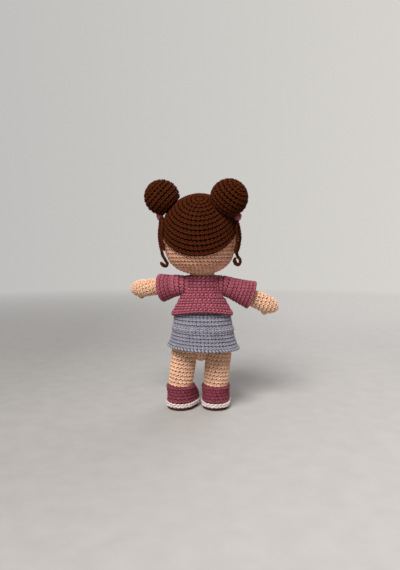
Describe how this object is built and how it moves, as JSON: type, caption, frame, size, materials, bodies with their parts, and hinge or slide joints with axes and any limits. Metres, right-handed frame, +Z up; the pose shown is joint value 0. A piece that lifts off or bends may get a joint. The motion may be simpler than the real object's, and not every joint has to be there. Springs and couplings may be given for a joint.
{
  "type": "amigurumi_doll",
  "caption": "Crocheted standing doll with two hair buns, raspberry sweater, grey-blue flared skirt and raspberry shoes with white welts; head, arms, legs and side curls move",
  "frame": {"origin": "on the floor, at the centre of the doll's outer box", "axes": "X across the doll, positive towards the doll's own left; Y from front to back, the face looks along -Y; Z up, from the soles to the buns"},
  "size_m": [0.136, 0.0692, 0.2056],
  "materials": {
    "skin_yarn": "crocheted cotton yarn, matte",
    "hair_yarn": "crocheted cotton yarn, matte",
    "raspberry_yarn": "crocheted cotton yarn, matte",
    "grey_blue_yarn": "crocheted cotton yarn, matte",
    "white_yarn": "crocheted cotton yarn, matte",
    "fibre_fill": "loose polyester fibre",
    "eye_plastic": "polished",
    "washer_plastic": "moulded"
  },
  "bodies": {
    "torso": {"torso_skin": "skin_yarn", "torso_stuffing": "fibre_fill", "sweater": "raspberry_yarn", "skirt": "grey_blue_yarn"},
    "head": {"head_skin": "skin_yarn", "head_stuffing": "fibre_fill", "hair_cap": "hair_yarn", "bun_left": "hair_yarn", "bun_right": "hair_yarn", "bun_stuffing_left": "fibre_fill", "bun_stuffing_right": "fibre_fill", "bun_tie_left": "raspberry_yarn", "bun_tie_right": "raspberry_yarn", "eye_left": "eye_plastic", "eye_right": "eye_plastic", "eye_washer_left": "washer_plastic", "eye_washer_right": "washer_plastic"},
    "left_locks": {"lock_left_outer": "hair_yarn", "lock_left_inner": "hair_yarn"},
    "right_locks": {"lock_right_outer": "hair_yarn", "lock_right_inner": "hair_yarn"},
    "left_arm": {"left_arm_skin": "skin_yarn", "left_arm_stuffing": "fibre_fill", "left_sleeve": "raspberry_yarn"},
    "right_arm": {"right_arm_skin": "skin_yarn", "right_arm_stuffing": "fibre_fill", "right_sleeve": "raspberry_yarn"},
    "left_leg": {"left_leg_skin": "skin_yarn", "left_leg_stuffing": "fibre_fill", "left_shoe_upper": "raspberry_yarn", "left_shoe_welt": "white_yarn", "left_shoe_outsole": "raspberry_yarn", "left_shoe_stuffing": "fibre_fill"},
    "right_leg": {"right_leg_skin": "skin_yarn", "right_leg_stuffing": "fibre_fill", "right_shoe_upper": "raspberry_yarn", "right_shoe_welt": "white_yarn", "right_shoe_outsole": "raspberry_yarn", "right_shoe_stuffing": "fibre_fill"}
  },
  "joints": [
    {"name": "head_turn", "type": "hinge", "parent": "torso", "child": "head", "pos_m": [0.0006, -0.0014, 0.126], "axis": [0, 0, 1], "range_deg": [-30, 30], "stiffness_Nm_per_rad": 0.02},
    {"name": "left_arm_lift", "type": "hinge", "parent": "torso", "child": "left_arm", "pos_m": [0.01753, -0.0014, 0.1128], "axis": [0, -1, 0], "range_deg": [-16, 10], "stiffness_Nm_per_rad": 0.05},
    {"name": "right_arm_lift", "type": "hinge", "parent": "torso", "child": "right_arm", "pos_m": [-0.01633, -0.0014, 0.1128], "axis": [0, 1, 0], "range_deg": [-16, 20], "stiffness_Nm_per_rad": 0.05},
    {"name": "left_leg_swing", "type": "hinge", "parent": "torso", "child": "left_leg", "pos_m": [0.0161, 0.0001, 0.057], "axis": [1, 0, 0], "range_deg": [-20, 20], "stiffness_Nm_per_rad": 0.3},
    {"name": "right_leg_swing", "type": "hinge", "parent": "torso", "child": "right_leg", "pos_m": [-0.0149, 0.0001, 0.057], "axis": [1, 0, 0], "range_deg": [-20, 20], "stiffness_Nm_per_rad": 0.3},
    {"name": "left_locks_lift", "type": "hinge", "parent": "head", "child": "left_locks", "pos_m": [0.03562, 0.00551, 0.17123], "axis": [0, -1, 0], "range_deg": [0, 22]},
    {"name": "right_locks_lift", "type": "hinge", "parent": "head", "child": "right_locks", "pos_m": [-0.02909, 0.01323, 0.16842], "axis": [0, 1, 0], "range_deg": [0, 22]}
  ]
}
